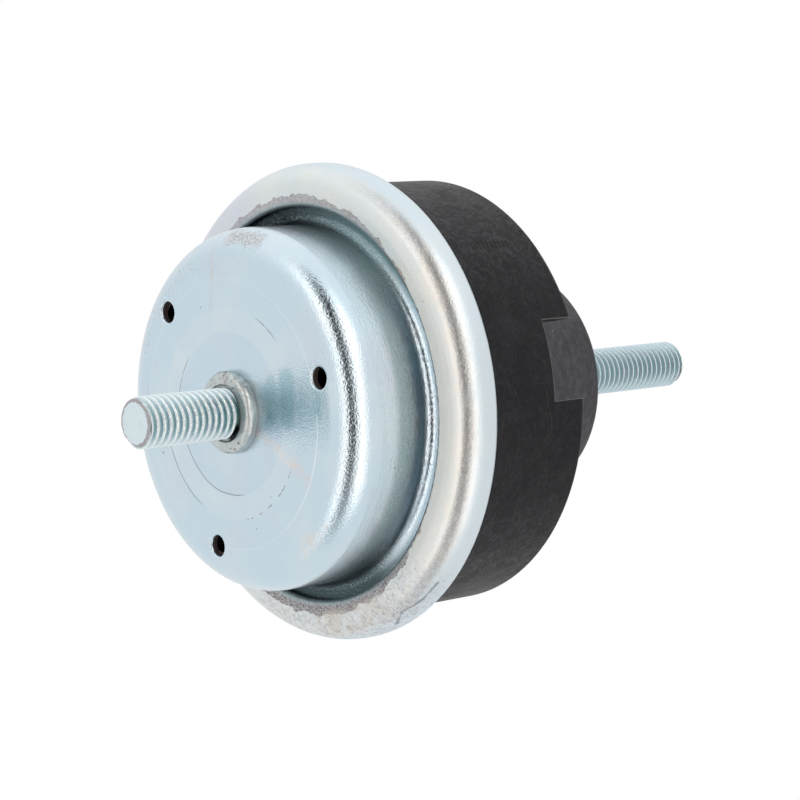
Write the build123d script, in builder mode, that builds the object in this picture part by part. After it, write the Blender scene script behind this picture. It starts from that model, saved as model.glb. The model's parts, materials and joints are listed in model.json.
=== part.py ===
# Hydraulic engine mount, in millimetres.
# The axis is vertical: the steel cup faces down, the rubber spring and the engine stud face up.
# The origin is the centre of the cup's flat seat face.
import os

from build123d import *

os.makedirs("parts", exist_ok=True)

# Driving dimensions

# Studs: the free lengths, and the ends that hold them
stud_d = 10.0
stud_tip_chamfer = 0.9
base_stud_length = 23.0
top_stud_length = 44.5
head_d = 21.0
head_height = 2.4
head_chamfer = 0.6
anchor_depth = 20.0
anchor_bottom_gap = 1.0
anchor_relief_d = 8.4
anchor_relief_width = 2.0

# Collar round the root of the base stud: it passes through the cup's sheet and is swaged outside
collar_height = 2.3
collar_rim_width = 1.95
collar_outer_fillet = 1.3
collar_groove_width = 1.0
collar_groove_rise = 1.0

# Pressed steel cup
cup_sheet = 1.6
cup_wall_r = 35.5
cup_corner_r = 6.5
cup_root_fillet = 2.2
cup_flange_z = 19.7
vent_d = 4.1
vent_inset = 8.1
vent_edge_r = 0.5
vent_count = 3
vent_phase = 24.8

# Crimp ring
ring_sheet = 2.0
ring_lip_gap = 3.5
ring_face_width = 8.5
ring_bend_r = 5.5
ring_lip_fillet = 0.9

# Drawn steel insert in the rubber collar
insert_sheet = 3.0
insert_flange_width = 5.8
insert_bend_r = 0.8

# Rubber collar wall, its groove and its notches
skin_thickness = 1.4
collar_wall = 4.8
collar_wall_height = 28.7
rim_edge_r = 1.0
notch_depth = 8.2
notch_width = 15.9
notch_count = 2
notch_phase = -90.0
groove_depth = 10.2
groove_width = 3.0
groove_outer_fillet = 1.0
groove_inner_fillet = 1.8
insert_cover = 1.8

# Rubber cone and the fluid chamber under it
cone_height = 35.9
cone_top_r = 22.8
cone_edge_r = 2.5
chamber_lip = 1.8
chamber_wall_height = 3.0
chamber_bevel = 1.5
chamber_roof_margin = 5.5

# Metal core
core_height = 28.5
core_side_cover = 5.3
core_top_cover = 1.3
core_foot_cover = 2.0
core_straight = 8.4
core_foot_r = 9.5
core_foot_chamfer = 1.2
seat_step = 1.3
seat_shoulder = 2.0
seat_edge_chamfer = 0.5

# Diaphragm with its bead
bead_height = 3.0
bead_width = 3.6
bellows_sheet = 1.4
bellows_root_rise = 0.6
bellows_root_bend_r = 2.6
bellows_side_gap = 2.3
bellows_floor_gap = 6.6
bellows_turn_r = 3.3
bellows_crown_drop = 2.9
bellows_crown_bend_r = 3.4
bead_ring_width = 1.5
bead_ring_cover = 0.7

# Channel plates and decoupler
lower_plate_height = 6.0
upper_plate_height = 3.0
channel_wall = 3.4
channel_width = 7.0
channel_floor = 1.5
channel_web_angle = 32.0
port_angle = 16.0
decoupler_r = 21.6
decoupler_height = 2.8
decoupler_edge_chamfer = 0.5
decoupler_seat_floor = 2.4
grid_hole_d = 4.4
grid_inner_count = 6
grid_inner_r = 8.5
grid_outer_count = 12
grid_outer_r = 16.0

# Clearances
stack_clearance = 0.2
flange_clearance = 0.9
decoupler_clearance = 0.3
collar_clearance = 0.02
skin_clearance = 0.2
anchor_clearance = 0.02

# Radii that follow from the sizes above
stud_r = stud_d / 2
collar_groove_r = stud_r + collar_groove_width
collar_r = collar_groove_r + collar_rim_width
vent_circle_r = cup_wall_r - vent_inset
ring_lip_r = cup_wall_r + ring_lip_gap
ring_r = ring_lip_r + ring_face_width
cup_flange_r = ring_r - ring_bend_r
insert_flange_r = ring_r - ring_sheet - flange_clearance
insert_bore_r = insert_flange_r - insert_flange_width
insert_outer_r = insert_bore_r + insert_sheet
skin_r = insert_outer_r + skin_thickness
collar_inner_r = skin_r - collar_wall
cone_foot_r = collar_inner_r - groove_width
core_r = cone_top_r - core_side_cover
core_seat_r = core_r - seat_shoulder
chamber_roof_r = core_foot_r + chamber_roof_margin
plate_r = insert_bore_r - stack_clearance
chamber_r = plate_r - chamber_lip
channel_outer_r = plate_r - channel_wall
channel_inner_r = channel_outer_r - channel_width
web_edge = channel_web_angle / 2
bead_inner_r = plate_r - bead_width
bellows_wall_r = cup_wall_r - cup_sheet - bellows_side_gap

# Heights of the clamped stack, from the cup's flange up
flange_back_z = cup_flange_z + cup_sheet
insert_flange_back_z = flange_back_z + insert_sheet
bead_top_z = flange_back_z + bead_height
decoupler_seat_z = bead_top_z + decoupler_seat_floor
plate_split_z = bead_top_z + lower_plate_height
plate_top_z = plate_split_z + upper_plate_height

# Heights of the rubber and the core
collar_rim_z = insert_flange_back_z + collar_wall_height
notch_floor_z = collar_rim_z - notch_depth
groove_floor_z = collar_rim_z - groove_depth
insert_top_z = groove_floor_z - insert_cover
cone_top_z = groove_floor_z + cone_height
core_seat_z = cone_top_z + seat_step
core_shoulder_z = cone_top_z - core_top_cover
core_taper_z = core_shoulder_z - core_straight
core_foot_z = core_seat_z - core_height
anchor_foot_z = core_seat_z - anchor_depth + anchor_bottom_gap
stud_tip_z = core_seat_z + top_stud_length
chamber_roof_z = core_foot_z - core_foot_cover

# Heights of the bellows
bellows_root_z = flange_back_z + bellows_root_rise
bellows_floor_z = cup_sheet + bellows_floor_gap
bellows_crown_z = flange_back_z - bellows_crown_drop


def circles_at(part, radius, z):
    """The part's circular edges of one radius at one height."""
    near = 0.01
    circles = part.edges().filter_by(GeomType.CIRCLE)
    return circles.filter_by(lambda e: abs(e.radius - radius) < near and abs(e.arc_center.Z - z) < near)


def ring_sector(inner_r, outer_r, start_angle, span):
    """Closed outline of a part of a flat ring."""
    with BuildLine() as outline:
        outer = CenterArc((0, 0), outer_r, start_angle, span)
        inner = CenterArc((0, 0), inner_r, start_angle, span)
        Line(outer @ 0, inner @ 0)
        Line(outer @ 1, inner @ 1)
    return outline.edges()


def grid_holes():
    """The flow holes over and under the decoupler."""
    Circle(grid_hole_d / 2)
    with PolarLocations(grid_inner_r, grid_inner_count):
        Circle(grid_hole_d / 2)
    with PolarLocations(grid_outer_r, grid_outer_count):
        Circle(grid_hole_d / 2)


# Base cup: a sheet of even thickness, drawn from one line along its outer face
with BuildPart() as base_cup:
    with BuildSketch(Plane.XZ):
        with BuildLine():
            seat = Line((collar_r + collar_clearance, 0), (cup_wall_r - cup_corner_r, 0))
            corner = TangentArc(seat @ 1, (cup_wall_r, cup_corner_r), tangent=seat % 1)
            wall = Line(corner @ 1, (cup_wall_r, cup_flange_z - cup_root_fillet))
            root = TangentArc(wall @ 1, (cup_wall_r + cup_root_fillet, cup_flange_z), tangent=wall % 1)
            Line(root @ 1, (cup_flange_r, cup_flange_z))
            offset(amount=cup_sheet, side=Side.LEFT)
        make_face()
    revolve(axis=Axis.Z)
    with BuildSketch(Plane.XY):
        with PolarLocations(vent_circle_r, vent_count, start_angle=vent_phase):
            Circle(vent_d / 2)
    extrude(amount=cup_sheet, mode=Mode.SUBTRACT)
    fillet(circles_at(base_cup, vent_d / 2, 0), vent_edge_r)
base_cup.part.label = "base_cup"
export_step(base_cup.part, "parts/base_cup.step")

# Base stud: shank, collar with a groove inside it, and the head that bears on the cup's inner face
with BuildPart() as base_stud:
    with BuildSketch(Plane.XZ):
        with BuildLine():
            Polyline(
                (0, -base_stud_length),
                (stud_r - stud_tip_chamfer, -base_stud_length),
                (stud_r, -base_stud_length + stud_tip_chamfer),
                (stud_r, -collar_groove_rise),
                (collar_groove_r, -collar_groove_rise),
                (collar_groove_r, -collar_height),
                (collar_r, -collar_height),
                (collar_r, cup_sheet),
                (head_d / 2, cup_sheet),
                (head_d / 2, cup_sheet + head_height),
                (0, cup_sheet + head_height),
                close=True,
            )
        make_face()
    revolve(axis=Axis.Z)
    fillet(circles_at(base_stud, collar_r, -collar_height), collar_outer_fillet)
    chamfer(circles_at(base_stud, head_d / 2, cup_sheet + head_height), head_chamfer)
base_stud.part.label = "base_stud"
export_step(base_stud.part, "parts/base_stud.step")

# Crimp ring: a sheet drawn along its inner face, so that its back corner turns round the insert's flange
with BuildPart() as crimp_ring:
    with BuildSketch(Plane.XZ):
        with BuildLine():
            lip = Line((ring_lip_r, cup_flange_z), (ring_r - ring_bend_r, cup_flange_z))
            bend_end = (ring_r - ring_sheet, cup_flange_z - ring_sheet + ring_bend_r)
            bend = TangentArc(lip @ 1, bend_end, tangent=lip % 1)
            wall = Line(bend @ 1, (ring_r - ring_sheet, insert_flange_back_z))
            Line(wall @ 1, (skin_r + skin_clearance, insert_flange_back_z))
            offset(amount=ring_sheet, side=Side.RIGHT)
        make_face()
    revolve(axis=Axis.Z)
    fillet(circles_at(crimp_ring, ring_lip_r, cup_flange_z), ring_lip_fillet)
    fillet(circles_at(crimp_ring, ring_lip_r, cup_flange_z - ring_sheet), ring_lip_fillet)
crimp_ring.part.label = "crimp_ring"
export_step(crimp_ring.part, "parts/crimp_ring.step")

# Spring insert: flange in the crimp ring, cylinder inside the rubber collar
with BuildPart() as spring_insert:
    with BuildSketch(Plane.XZ):
        with BuildLine():
            bend_start = (insert_outer_r + insert_bend_r, insert_flange_back_z)
            flange = Line((insert_flange_r, insert_flange_back_z), bend_start)
            bend_top = (insert_outer_r, insert_flange_back_z + insert_bend_r)
            turn = TangentArc(flange @ 1, bend_top, tangent=flange % 1)
            Line(turn @ 1, (insert_outer_r, insert_top_z))
            offset(amount=insert_sheet, side=Side.LEFT)
        make_face()
    revolve(axis=Axis.Z)
spring_insert.part.label = "spring_insert"
export_step(spring_insert.part, "parts/spring_insert.step")

# Core: tapered foot in the rubber, shoulder under the rubber's top, seat face and blind hole
with BuildPart() as core:
    with BuildSketch(Plane.XZ):
        with BuildLine():
            Polyline(
                (0, core_foot_z),
                (core_foot_r, core_foot_z),
                (core_r, core_taper_z),
                (core_r, core_shoulder_z),
                (core_seat_r, core_shoulder_z),
                (core_seat_r, core_seat_z),
                (0, core_seat_z),
                close=True,
            )
        make_face()
    revolve(axis=Axis.Z)
    chamfer(circles_at(core, core_foot_r, core_foot_z), core_foot_chamfer)
    chamfer(circles_at(core, core_seat_r, core_seat_z), seat_edge_chamfer)
    with BuildSketch(Plane.XY.offset(core_seat_z)):
        Circle(stud_r + anchor_clearance)
    extrude(amount=-anchor_depth, mode=Mode.SUBTRACT)
core.part.label = "core"
export_step(core.part, "parts/core.step")

# Top stud: screwed into the core up to a relief that crosses the seat face
with BuildPart() as top_stud:
    with BuildSketch(Plane.XZ):
        with BuildLine():
            relief_half = anchor_relief_width / 2
            Polyline(
                (0, anchor_foot_z),
                (stud_r - stud_tip_chamfer, anchor_foot_z),
                (stud_r, anchor_foot_z + stud_tip_chamfer),
                (stud_r, core_seat_z - relief_half),
                (anchor_relief_d / 2, core_seat_z - relief_half),
                (anchor_relief_d / 2, core_seat_z + relief_half),
                (stud_r, core_seat_z + relief_half),
                (stud_r, stud_tip_z - stud_tip_chamfer),
                (stud_r - stud_tip_chamfer, stud_tip_z),
                (0, stud_tip_z),
                close=True,
            )
        make_face()
    revolve(axis=Axis.Z)
top_stud.part.label = "top_stud"
export_step(top_stud.part, "parts/top_stud.step")

# Main spring: one moulding round the insert and the core, with two notches in the collar's rim
with BuildPart() as main_spring:
    with BuildSketch(Plane.XZ):
        with BuildLine():
            steel_middle_r = insert_bore_r + insert_sheet / 2
            core_middle_r = (stud_r + core_foot_r) / 2
            core_middle_z = (core_foot_z + core_seat_z - anchor_depth) / 2
            Polyline(
                (0, chamber_roof_z),
                (chamber_roof_r, chamber_roof_z),
                (chamber_r, plate_top_z + chamber_wall_height),
                (chamber_r, plate_top_z),
                (steel_middle_r, plate_top_z),
                (steel_middle_r, insert_flange_back_z),
                (skin_r, insert_flange_back_z),
                (skin_r, collar_rim_z),
                (collar_inner_r, collar_rim_z),
                (collar_inner_r, groove_floor_z),
                (cone_foot_r, groove_floor_z),
                (cone_top_r, cone_top_z),
                (core_middle_r, cone_top_z),
                (core_middle_r, core_middle_z),
                (0, core_middle_z),
                close=True,
            )
        make_face()
    revolve(axis=Axis.Z)
    fillet(circles_at(main_spring, cone_top_r, cone_top_z), cone_edge_r)
    fillet(circles_at(main_spring, cone_foot_r, groove_floor_z), groove_inner_fillet)
    fillet(circles_at(main_spring, collar_inner_r, groove_floor_z), groove_outer_fillet)
    chamfer(circles_at(main_spring, chamber_roof_r, chamber_roof_z), chamber_bevel)
    chamfer(circles_at(main_spring, chamber_r, plate_top_z + chamber_wall_height), chamber_bevel)
    notch_start = (cone_foot_r + collar_inner_r) / 2 - groove_outer_fillet / 2
    with BuildSketch(Plane.XY.offset(notch_floor_z)):
        with PolarLocations((notch_start + ring_r) / 2, notch_count, start_angle=notch_phase):
            Rectangle(ring_r - notch_start, notch_width)
    extrude(amount=notch_depth, mode=Mode.SUBTRACT)
    fillet(circles_at(main_spring, skin_r, collar_rim_z), rim_edge_r)
    fillet(circles_at(main_spring, collar_inner_r, collar_rim_z), rim_edge_r)
    add(spring_insert.part, mode=Mode.SUBTRACT)
    add(core.part, mode=Mode.SUBTRACT)
main_spring.part.label = "main_spring"
export_step(main_spring.part, "parts/main_spring.step")

# Diaphragm ring: steel ring bonded inside the bead
with BuildPart() as diaphragm_ring:
    with BuildSketch(Plane.XZ):
        ring_outer_r = plate_r - bead_ring_cover
        with Locations((ring_outer_r - bead_ring_width / 2, flange_back_z + bead_height / 2)):
            Rectangle(bead_ring_width, bead_height - 2 * bead_ring_cover)
    revolve(axis=Axis.Z)
diaphragm_ring.part.label = "diaphragm_ring"
export_step(diaphragm_ring.part, "parts/diaphragm_ring.step")

# Diaphragm: rolling bellows with a clamped bead
with BuildPart() as diaphragm:
    with BuildSketch(Plane.XZ):
        with BuildLine():
            start = Line(
                (bead_inner_r + bellows_sheet / 2, bellows_root_z),
                (bellows_wall_r + bellows_root_bend_r, bellows_root_z),
            )
            wall_top = (bellows_wall_r, bellows_root_z - bellows_root_bend_r)
            upper_bend = TangentArc(start @ 1, wall_top, tangent=start % 1)
            down = Line(upper_bend @ 1, (bellows_wall_r, bellows_floor_z + bellows_turn_r))
            inner_wall_r = bellows_wall_r - 2 * bellows_turn_r
            turn = TangentArc(down @ 1, (inner_wall_r, bellows_floor_z + bellows_turn_r), tangent=down % 1)
            up = Line(turn @ 1, (inner_wall_r, bellows_crown_z - bellows_crown_bend_r))
            crown_start = (inner_wall_r - bellows_crown_bend_r, bellows_crown_z)
            crown_bend = TangentArc(up @ 1, crown_start, tangent=up % 1)
            Line(crown_bend @ 1, (0, bellows_crown_z))
            offset(amount=bellows_sheet, side=Side.RIGHT)
        make_face()
        with Locations(((bead_inner_r + plate_r) / 2, flange_back_z + bead_height / 2)):
            Rectangle(plate_r - bead_inner_r, bead_height)
    revolve(axis=Axis.Z)
    add(diaphragm_ring.part, mode=Mode.SUBTRACT)
diaphragm.part.label = "diaphragm"
export_step(diaphragm.part, "parts/diaphragm.step")

# Lower channel plate: open ring channel with a web across it, outlet port, decoupler seat and flow holes
with BuildPart() as lower_channel_plate:
    with BuildSketch(Plane.XY.offset(bead_top_z)):
        Circle(plate_r)
    extrude(amount=lower_plate_height)
    with BuildSketch(Plane.XY.offset(bead_top_z + channel_floor)):
        make_face(ring_sector(channel_inner_r, channel_outer_r, web_edge, 360 - channel_web_angle))
    extrude(amount=lower_plate_height - channel_floor, mode=Mode.SUBTRACT)
    with BuildSketch(Plane.XY.offset(bead_top_z)):
        make_face(ring_sector(channel_inner_r, channel_outer_r, web_edge, port_angle))
    extrude(amount=channel_floor, mode=Mode.SUBTRACT)
    with BuildSketch(Plane.XY.offset(decoupler_seat_z)):
        Circle(decoupler_r + decoupler_clearance)
    extrude(amount=plate_split_z - decoupler_seat_z, mode=Mode.SUBTRACT)
    with BuildSketch(Plane.XY.offset(bead_top_z)):
        grid_holes()
    extrude(amount=decoupler_seat_floor, mode=Mode.SUBTRACT)
lower_channel_plate.part.label = "lower_channel_plate"
export_step(lower_channel_plate.part, "parts/lower_channel_plate.step")

# Upper channel plate: cover of the channel, with the inlet port on the other side of the web
with BuildPart() as upper_channel_plate:
    with BuildSketch(Plane.XY.offset(plate_split_z)):
        Circle(plate_r)
        inlet = ring_sector(channel_inner_r, channel_outer_r, -web_edge - port_angle, port_angle)
        make_face(inlet, mode=Mode.SUBTRACT)
    extrude(amount=upper_plate_height)
    with BuildSketch(Plane.XY.offset(plate_split_z)):
        grid_holes()
    extrude(amount=upper_plate_height, mode=Mode.SUBTRACT)
upper_channel_plate.part.label = "upper_channel_plate"
export_step(upper_channel_plate.part, "parts/upper_channel_plate.step")

# Decoupler: loose rubber disc in its seat
with BuildPart() as decoupler:
    with BuildSketch(Plane.XY.offset(decoupler_seat_z)):
        Circle(decoupler_r)
    extrude(amount=decoupler_height)
    chamfer(decoupler.edges().filter_by(GeomType.CIRCLE), decoupler_edge_chamfer)
decoupler.part.label = "decoupler"
export_step(decoupler.part, "parts/decoupler.step")
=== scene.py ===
"""Looks of the hydraulic engine mount: plated steel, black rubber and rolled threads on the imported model."""

import json
import math

import bmesh
import bpy
from mathutils import Matrix, Vector, noise


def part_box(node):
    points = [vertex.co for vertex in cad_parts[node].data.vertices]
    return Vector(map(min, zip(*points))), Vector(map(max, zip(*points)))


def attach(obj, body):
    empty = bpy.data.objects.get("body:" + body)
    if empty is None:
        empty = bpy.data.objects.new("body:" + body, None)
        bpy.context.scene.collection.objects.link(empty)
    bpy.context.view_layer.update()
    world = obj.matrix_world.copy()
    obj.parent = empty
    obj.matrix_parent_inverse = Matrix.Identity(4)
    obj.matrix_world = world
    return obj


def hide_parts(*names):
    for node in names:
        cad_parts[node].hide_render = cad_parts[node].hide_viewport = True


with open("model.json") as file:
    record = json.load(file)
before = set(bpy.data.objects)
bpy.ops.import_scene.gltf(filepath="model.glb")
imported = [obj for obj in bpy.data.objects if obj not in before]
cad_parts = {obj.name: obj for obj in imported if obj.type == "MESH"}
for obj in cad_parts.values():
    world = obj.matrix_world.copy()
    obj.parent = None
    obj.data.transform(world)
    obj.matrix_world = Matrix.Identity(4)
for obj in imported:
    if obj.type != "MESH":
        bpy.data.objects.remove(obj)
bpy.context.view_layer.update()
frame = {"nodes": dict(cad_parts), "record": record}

MM = 0.001
MOUNTS = {mount["name"]: mount for mount in frame["record"]["mounts"]}

# Sizes read from the frame
STUD_R = MOUNTS["base_stud"]["dims"]["r_mm"] * MM
BASE_TIP_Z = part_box("base_stud")[0].z
HEAD_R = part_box("base_stud")[1].x
HEAD_TOP_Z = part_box("base_stud")[1].z
TOP_TIP_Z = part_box("top_stud")[1].z
TOP_FOOT_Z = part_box("top_stud")[0].z
CORE_SEAT_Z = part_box("core")[1].z

# Rolled thread
PITCH = 1.5 * MM
THREAD_ROOT_R = STUD_R - 0.92 * MM
TIP_CHAMFER = 0.6 * MM
TIP_INSET = 0.002 * MM
FACETS_AROUND = 96
ROWS_PER_PITCH = 16
SPARE_TURNS = 2.0
MERGE_DISTANCE = 2e-6

# Where a flank starts and ends, as shares of the way from root to crest along the rod
THREAD_FLANK = (0.06, 0.98)

# Swaged collar and riveted head of the base stud
CUP_SHEET = 1.6 * MM
COLLAR_R = 7.95 * MM
COLLAR_HEIGHT = 2.3 * MM
COLLAR_OUTER_FILLET = 1.3 * MM
COLLAR_INNER_FILLET = 0.35 * MM
COLLAR_GROOVE_R = 5.5 * MM
COLLAR_GROOVE_Z = -2.0 * MM
HEAD_CHAMFER = 0.6 * MM
BURR_ANGLE = math.radians(98)
BURR_SPAN = math.radians(26)
BURR_HEIGHT = 0.5 * MM
BURR_DROOP = 0.3
COLLAR_FACETS = 180
COLLAR_PLAIN = 0.2 * MM

# Depth of the collar's dents and of its ripples, in millimetres
COLLAR_DENT = 0.10
COLLAR_RIPPLE = 0.035

# Notches in the rubber collar, in millimetres
NOTCH_HALF = 7.95
NOTCH_SILL_Z = 44.8
NOTCH_WALL_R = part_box("main_spring")[1].x / MM

# Angles on the part run from 0 at the picture's left over 90 degrees at the top to 180 at the right.
# Where finishes change: radii in millimetres on the cup's flange and round its vents, and the angles,
# up or down, between which the look of the ring's right half sets in
FLANGE_EDGE = (36.6, 37.4)
VENT_R = 27.4
VENT_HALF = 2.1
RIGHT_SIDE = (118.0, 150.0)

# The washer on the seat face sat a little off the part's axis
WASHER_OFF = (0.31 * MM, 0.79 * MM, 0.0)

# Camera: how far the part's axis turns away from the line of sight, how it rises to the right in the
# picture, how the part is clocked round it, and where the origin lies to the right, below and ahead
AXIS_TURN = math.radians(48.702)
AXIS_RISE = math.radians(6.537)
CLOCKING = math.radians(98.4)
ORIGIN_PLACE = Vector((-32.351, 2.399, 475.61)) * MM
LENS_MM = 110.918
SENSOR_MM = 36.0

# Room: levels of the dark gap behind the camera, of the soft boxes beside it and of the walls
GAP_LEVEL = 0.012
LOW_GAP_LEVEL = 0.40
BOX_LEVEL = 1.72
WALL_LEVEL = 0.93
SKY_GAIN = 1.18

# Where gap and boxes lie: cosines of the angle from the camera's right, and for BEHIND from its view
GAP_ASIDE = -0.16
GAP_EDGE = (0.16, 0.24)
LEFT_BOX = (-0.70, -0.60, -0.44, -0.36)
RIGHT_BOX = (0.10, 0.20, 0.50, 0.72)
BEHIND = (-0.42, -0.30)

# Colours of the room, and the floor
WALL_WHITE = (1.0, 1.0, 1.0)
BOX_WARM = (1.0, 0.91, 0.86)
BOX_CREAM = (1.0, 0.92, 0.87)
FLOOR_SIZE = 6.0
FLOOR_DROP = 0.2 * MM

# Colours, linear
ZINC_BLUE = (0.585, 0.715, 0.795)
ZINC_PALE = (0.70, 0.77, 0.80)
ZINC_LAVENDER = (0.62, 0.66, 0.76)
ZINC_TEAL = (0.26, 0.41, 0.43)
STUD_REFLECTION_TEAL = (0.22, 0.45, 0.50)
ZINC_CREAM = (0.80, 0.77, 0.70)
ZINC_YELLOW = (0.78, 0.78, 0.66)
SEAT_BLUE = (0.50, 0.62, 0.74)
SCRIBE_WHITE = (0.95, 0.96, 0.95)
SCRATCH_DARK = (0.14, 0.16, 0.165)
RING_GREY = (0.72, 0.755, 0.765)
LIP_HIGHLIGHT_WHITE = (0.92, 0.92, 0.89)
BEND_REFLECTION_GREY = (0.33, 0.345, 0.37)
EDGE_TEAL = (0.40, 0.50, 0.52)
STAIN_TAN = (0.64, 0.59, 0.50)
WRINKLE_GREY = (0.26, 0.25, 0.255)
SCUFF_MAUVE = (0.36, 0.325, 0.345)
SCUFF_BROWN = (0.30, 0.255, 0.235)
SMUDGE_PINK = (0.70, 0.62, 0.59)
STREAK_TAN = (0.62, 0.60, 0.57)
DIRT = (0.085, 0.085, 0.09)
# Painted shade: near black in gaps, teal in the cup's trough
GAP_SHADE = (0.012, 0.021, 0.027)
SHADE_TEAL = (0.165, 0.285, 0.30)
RUST_AND_SHADE = (0.045, 0.028, 0.020)
BASE_ZINC = (0.69, 0.79, 0.83)
TOP_ZINC = (0.58, 0.71, 0.76)
CREST_HIGHLIGHT_WHITE = (0.92, 0.94, 0.93)
COLLAR_GREY = (0.54, 0.595, 0.60)
COLLAR_WARM = (0.66, 0.65, 0.62)
GROOVE_SHADE = (0.25, 0.30, 0.285)
TOOL_DARK = (0.16, 0.15, 0.15)
RUBBER_BLACK = (0.0065, 0.0074, 0.0092)
RUBBER_BLOOM = (0.021, 0.0202, 0.0235)
RUBBER_GREY = (0.052, 0.0500, 0.0570)
RUBBER_SCRATCH = (0.10, 0.10, 0.105)
RUBBER_EDGE_HIGHLIGHT = (0.15, 0.15, 0.155)
SPECK_WHITE = (0.55, 0.55, 0.56)
STROKE_BLACK = (0.004, 0.004, 0.005)
DIAPHRAGM_BLACK = (0.020, 0.020, 0.020)
DECOUPLER_BLACK = (0.045, 0.045, 0.045)
CAST_PALE = (0.74, 0.75, 0.76)
CAST_DULL = (0.60, 0.61, 0.62)
CAST_TURNED = (0.84, 0.85, 0.86)
PHOSPHATE_PALE = (0.36, 0.36, 0.37)
PHOSPHATE_DARK = (0.24, 0.24, 0.25)
FLOOR_PALE = (0.86, 0.86, 0.86)
FLOOR_WHITE = (0.90, 0.90, 0.90)

# Kinds of sockets, and the default of a vector
VALUE = "NodeSocketFloat"
VECTOR = "NodeSocketVector"
ORIGIN = (0.0, 0.0, 0.0)


# Node helpers


def put(tree, kind, settings=None, inputs=None):
    """Adds a node, sets its properties and fills its inputs with values or links."""
    node = tree.nodes.new(kind)
    for key, value in (settings or {}).items():
        setattr(node, key, value)
    for key, value in (inputs or {}).items():
        if isinstance(value, bpy.types.NodeSocket):
            tree.links.new(value, node.inputs[key])
        else:
            node.inputs[key].default_value = value
    return node


def calc(tree, operation, *terms):
    """One step of arithmetic."""
    return put(tree, "ShaderNodeMath", {"operation": operation}, dict(enumerate(terms))).outputs[0]


def chain(tree, operation, *terms):
    """The same step of arithmetic from term to term."""
    whole = terms[0]
    for term in terms[1:]:
        whole = calc(tree, operation, whole, term)
    return whole


def total(tree, *terms):
    """Adds up the terms."""
    return chain(tree, "ADD", *terms)


def both(tree, *masks):
    """Where all masks are on."""
    return chain(tree, "MULTIPLY", *masks)


def vector(tree, operation, *terms):
    """One step of vector arithmetic. Returns the node's outputs."""
    return put(tree, "ShaderNodeVectorMath", {"operation": operation}, dict(enumerate(terms))).outputs


def ramp(tree, value, low, high, start=0.0, end=1.0, soft=True):
    """Runs from start to end while the value runs from low to high."""
    kind = "SMOOTHSTEP" if soft else "LINEAR"
    inputs = {"Value": value, "From Min": low, "From Max": high, "To Min": start, "To Max": end}
    return put(tree, "ShaderNodeMapRange", {"interpolation_type": kind}, inputs).outputs["Result"]


def band(tree, value, middle, half_width, edge):
    """A mask that is 1 within half a width of the middle and fades over the edge."""
    away = calc(tree, "ABSOLUTE", calc(tree, "SUBTRACT", value, middle))
    return ramp(tree, calc(tree, "SUBTRACT", away, half_width), 0.0, edge, 1.0, 0.0)


def window(tree, value, rise, full, fall, end):
    """A mask that rises to 1 between two values and falls again between two more."""
    return both(tree, ramp(tree, value, rise, full), ramp(tree, value, fall, end, 1.0, 0.0))


def tint(tree, under, over, *masks):
    """Lays one colour over another where all masks are on."""
    node = put(tree, "ShaderNodeMix", {"data_type": "RGBA"})
    for key, value in ((0, both(tree, *masks)), (6, under), (7, over)):
        if isinstance(value, bpy.types.NodeSocket):
            tree.links.new(value, node.inputs[key])
        else:
            node.inputs[key].default_value = (*value, 1.0)
    return node.outputs[2]


def fractal(tree, place, scale, detail=2.0, roughness=0.5, distortion=0.0):
    """Cloudy noise from 0 to 1."""
    inputs = {"Vector": place, "Scale": scale, "Detail": detail, "Roughness": roughness}
    inputs["Distortion"] = distortion
    return put(tree, "ShaderNodeTexNoise", None, inputs).outputs[0]


def swing(tree, cloud, size):
    """Spreads a noise about zero over the given size."""
    return calc(tree, "MULTIPLY", calc(tree, "SUBTRACT", cloud, 0.5), size)


def object_place(tree):
    """Place on a piece in the part's own axes, in metres."""
    return put(tree, "ShaderNodeTexCoord").outputs["Object"]


def shader_group(name, inputs, outputs):
    """A new shader group. Returns the tree, its given values and its output node's sockets."""
    tree = bpy.data.node_groups.new(name, "ShaderNodeTree")
    for key, value in inputs.items():
        kind = VECTOR if isinstance(value, tuple) else VALUE
        tree.interface.new_socket(key, in_out="INPUT", socket_type=kind).default_value = value
    for key, kind in outputs.items():
        tree.interface.new_socket(key, in_out="OUTPUT", socket_type=kind)
    return tree, tree.nodes.new("NodeGroupInput").outputs, tree.nodes.new("NodeGroupOutput").inputs


def place_group(tree, group, *values):
    """Uses a shader group with values for its inputs, in their order. Returns its outputs."""
    return put(tree, "ShaderNodeGroup", {"node_tree": group}, dict(enumerate(values))).outputs


def effect(tree, group, *values):
    """The one output of an effect's group, with values for its inputs in their order."""
    return place_group(tree, group, *values)[0]


# Effects that several finishes share


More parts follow.
